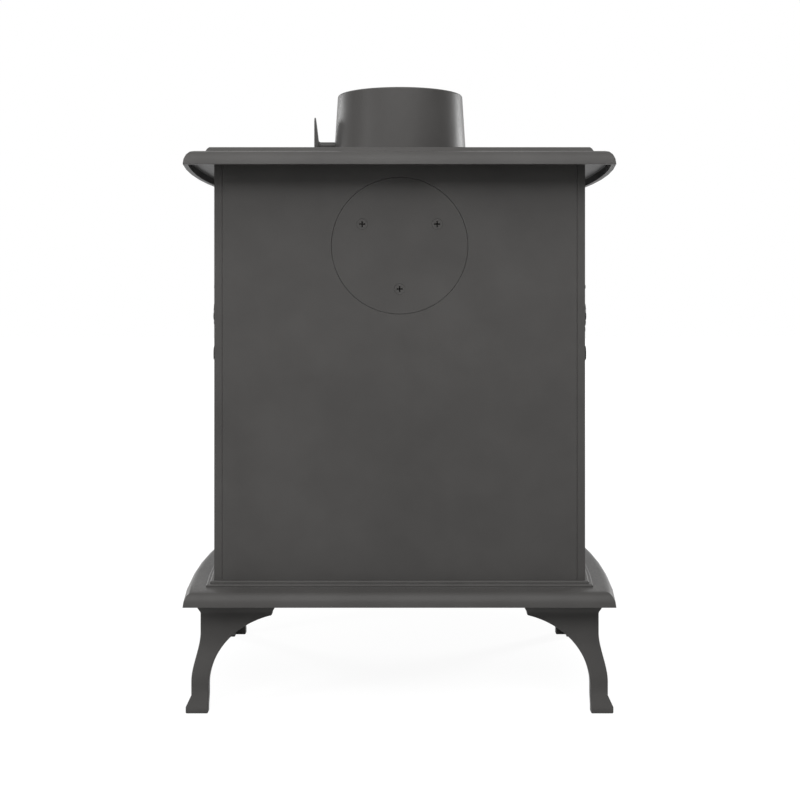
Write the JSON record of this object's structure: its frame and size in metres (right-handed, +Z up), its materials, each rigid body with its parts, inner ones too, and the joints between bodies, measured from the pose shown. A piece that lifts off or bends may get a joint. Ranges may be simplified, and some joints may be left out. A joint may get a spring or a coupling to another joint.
{
  "type": "cast iron wood stove",
  "caption": "Small cast iron wood stove on cabriole legs: glazed fire door, ash drawer with air wheel, airwash slide, riddling grate, and a damper in its top flue collar",
  "frame": {"origin": "On the floor under the middle of the stove's outer box; the fire door faces -Y and the back panel faces +Y", "axes": "+X to the right for someone facing the fire door, +Y from the fire door to the back panel, +Z up"},
  "size_m": [0.4558, 0.366, 0.641],
  "materials": {
    "stove_paint": "matt heat resistant paint with a fine casting grain",
    "bare_iron": "bare cast iron, slightly rough, dulled by heat",
    "steel": "plain steel, dull",
    "fire_brick": "pressed vermiculite, matt and grainy",
    "rope_seal": "braided glass fibre rope",
    "ceramic_glass": "clear ceramic glass with a faint brown tint"
  },
  "bodies": {
    "stove": {"base_plate": "stove_paint", "top_plate": "stove_paint", "back_panel": "stove_paint", "front_frame": "stove_paint", "side_panel_right": "stove_paint", "side_panel_left": "stove_paint", "blanking_plate": "stove_paint", "blanking_screw_1": "stove_paint", "blanking_screw_2": "stove_paint", "blanking_screw_3": "stove_paint", "flue_collar": "stove_paint", "leg_rear_right": "stove_paint", "leg_rear_left": "stove_paint", "leg_front_right": "stove_paint", "leg_front_left": "stove_paint", "grate_frame": "bare_iron", "log_guard": "bare_iron", "baffle_plate": "bare_iron", "collar_screw_1": "steel", "collar_screw_2": "steel", "collar_screw_3": "steel", "leg_bolt_rear_right": "steel", "leg_bolt_rear_left": "steel", "leg_bolt_front_right": "steel", "leg_bolt_front_left": "steel", "tie_bolt_rear_right": "steel", "tie_bolt_rear_left": "steel", "tie_bolt_front_right": "steel", "tie_bolt_front_left": "steel", "hinge_pin_bottom": "steel", "hinge_pin_top": "steel", "brick_right": "fire_brick", "brick_left": "fire_brick", "brick_rear": "fire_brick"},
    "fire_door": {"fire_door": "stove_paint", "door_glass": "ceramic_glass", "glass_gasket": "rope_seal", "door_rope": "rope_seal", "glass_clip_1": "steel", "glass_clip_2": "steel", "glass_clip_3": "steel", "glass_clip_4": "steel", "clip_screw_1": "steel", "clip_screw_2": "steel", "clip_screw_3": "steel", "clip_screw_4": "steel"},
    "door_handle": {"door_handle": "stove_paint", "door_latch": "bare_iron"},
    "ash_drawer": {"ash_drawer_front": "stove_paint", "ash_pan": "steel", "air_wheel_stud": "steel"},
    "air_wheel": {"air_wheel": "stove_paint"},
    "airwash": {"airwash_slide": "bare_iron", "airwash_knob": "steel"},
    "damper": {"damper_disc": "bare_iron", "damper_spindle": "stove_paint"},
    "riddling_rod": {"riddling_rod": "steel", "riddling_knob": "steel"},
    "grate_disc": {"grate_disc": "bare_iron"}
  },
  "joints": [
    {"name": "door_hinge", "type": "hinge", "parent": "stove", "child": "fire_door", "pos_m": [-0.17, -0.136, 0.367], "axis": [0, 0, -1], "range_deg": [0, 100]},
    {"name": "handle_turn", "type": "hinge", "parent": "fire_door", "child": "door_handle", "pos_m": [0.118, -0.145, 0.367], "axis": [0, 1, 0], "range_deg": [0, 90]},
    {"name": "drawer_slide", "type": "slide", "parent": "stove", "child": "ash_drawer", "axis": [0, -1, 0], "range_m": [0, 0.19]},
    {"name": "air_wheel_turn", "type": "hinge", "parent": "ash_drawer", "child": "air_wheel", "pos_m": [0, -0.136, 0.1555], "axis": [0, 1, 0], "range_deg": [0, 45]},
    {"name": "airwash_slide", "type": "slide", "parent": "stove", "child": "airwash", "axis": [1, 0, 0], "range_m": [0, 0.018]},
    {"name": "damper_turn", "type": "hinge", "parent": "stove", "child": "damper", "pos_m": [0, 0.053, 0.5869], "axis": [1, 0, 0], "range_deg": [0, 90]},
    {"name": "grate_turn", "type": "hinge", "parent": "stove", "child": "grate_disc", "pos_m": [0, 0.011, 0.2], "axis": [0, 0, -1], "range_deg": [0, 20]},
    {"name": "riddle_pull", "type": "slide", "parent": "stove", "child": "riddling_rod", "axis": [0, -1, 0], "range_m": [0, 0.0209]}
  ],
  "couplings": [
    {"joint": "riddle_pull", "follows": "grate_turn", "m_per_rad": 0.059697}
  ]
}
